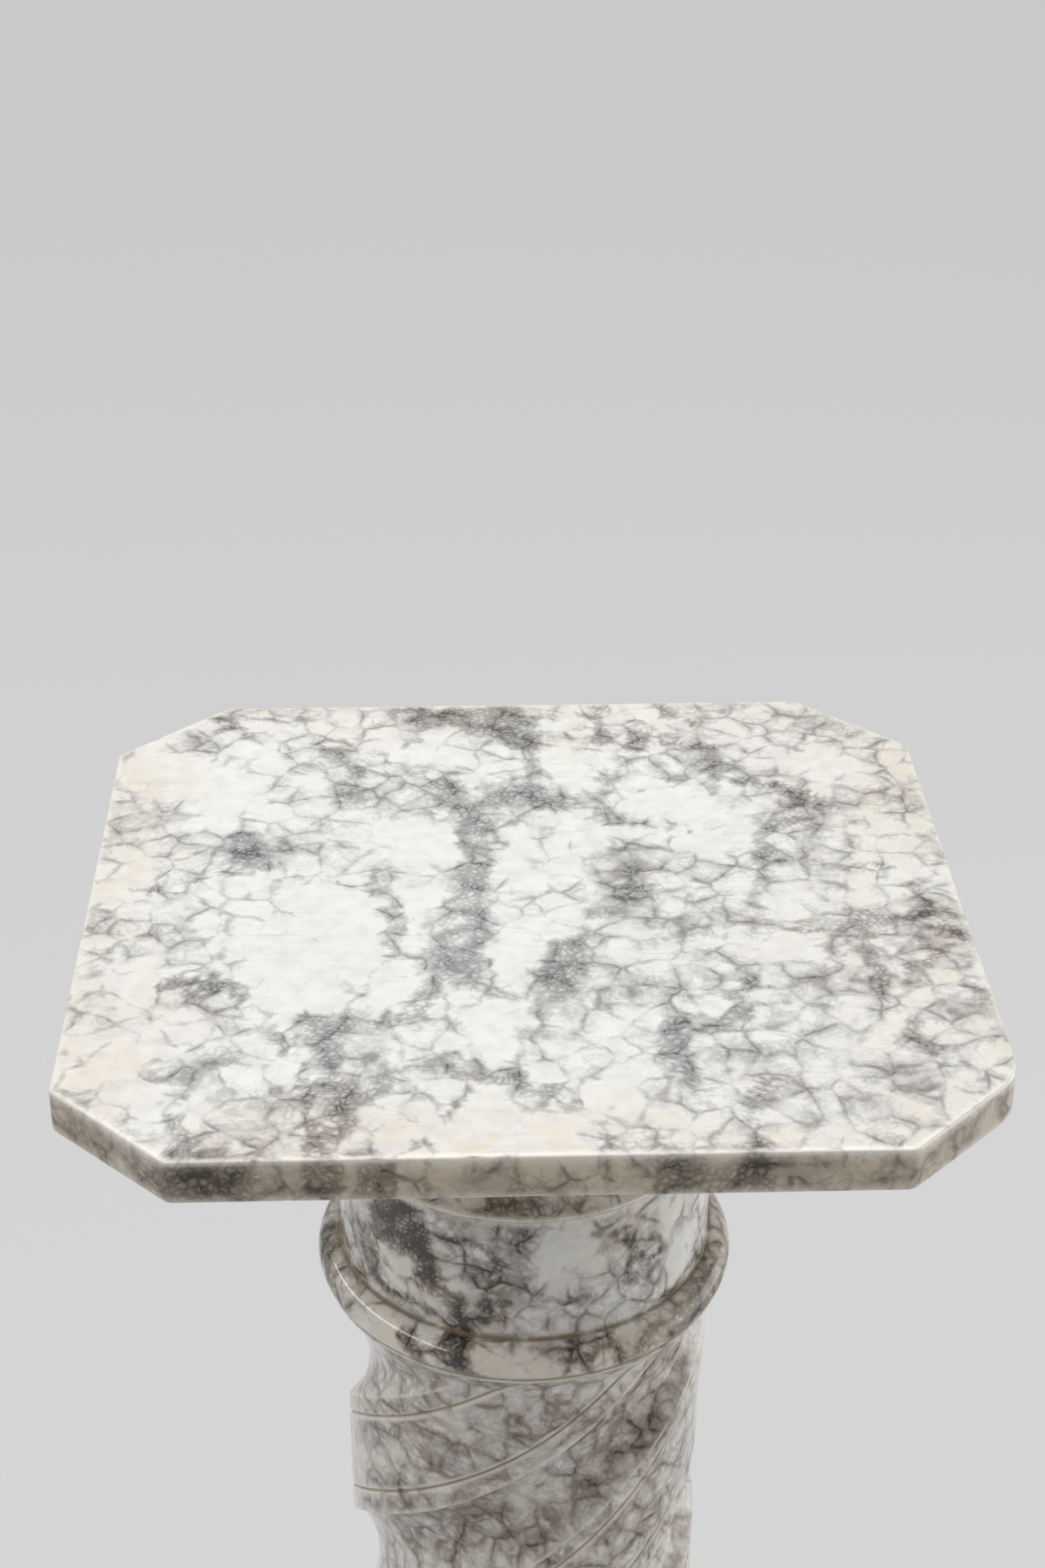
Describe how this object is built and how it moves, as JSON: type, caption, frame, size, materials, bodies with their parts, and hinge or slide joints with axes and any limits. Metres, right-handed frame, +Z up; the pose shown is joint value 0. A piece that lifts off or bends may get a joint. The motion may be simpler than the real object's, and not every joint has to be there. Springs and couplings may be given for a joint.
{
  "type": "pedestal column stand",
  "caption": "Marble column pedestal: an octagonal plate on a turned capital, a shaft with spiral flutes between two beaded drums, a roll base and a plinth.",
  "frame": {"origin": "centre of the plinth's underside, on the floor", "axes": "+Z up along the column's axis; +X and +Y square to the plate's long sides"},
  "size_m": [0.3, 0.3, 1.0416],
  "materials": {
    "plate_marble": "polished white and cream marble with grey veins and an ivory patina",
    "capital_marble": "polished grey-beige marble",
    "drum_marble": "polished beige marble with dark grey vein clusters",
    "shaft_marble": "polished grey-beige mottled marble, dirt in the carving",
    "base_marble": "polished grey-beige marble",
    "plinth_marble": "polished grey-beige marble",
    "rod_steel": "dull zinc-plated steel",
    "plaster": "matt setting plaster"
  },
  "bodies": {
    "root": {"top_plate": "plate_marble", "capital": "capital_marble", "upper_drum": "drum_marble", "spiral_shaft": "shaft_marble", "lower_drum": "drum_marble", "base": "base_marble", "plinth": "plinth_marble", "tie_rod": "rod_steel", "upper_washer": "rod_steel", "upper_nut": "rod_steel", "lower_washer": "rod_steel", "lower_nut": "rod_steel", "plinth_bed": "plaster", "base_bed": "plaster", "lower_drum_bed": "plaster", "shaft_bed": "plaster", "upper_drum_bed": "plaster", "capital_bed": "plaster"}
  },
  "joints": []
}
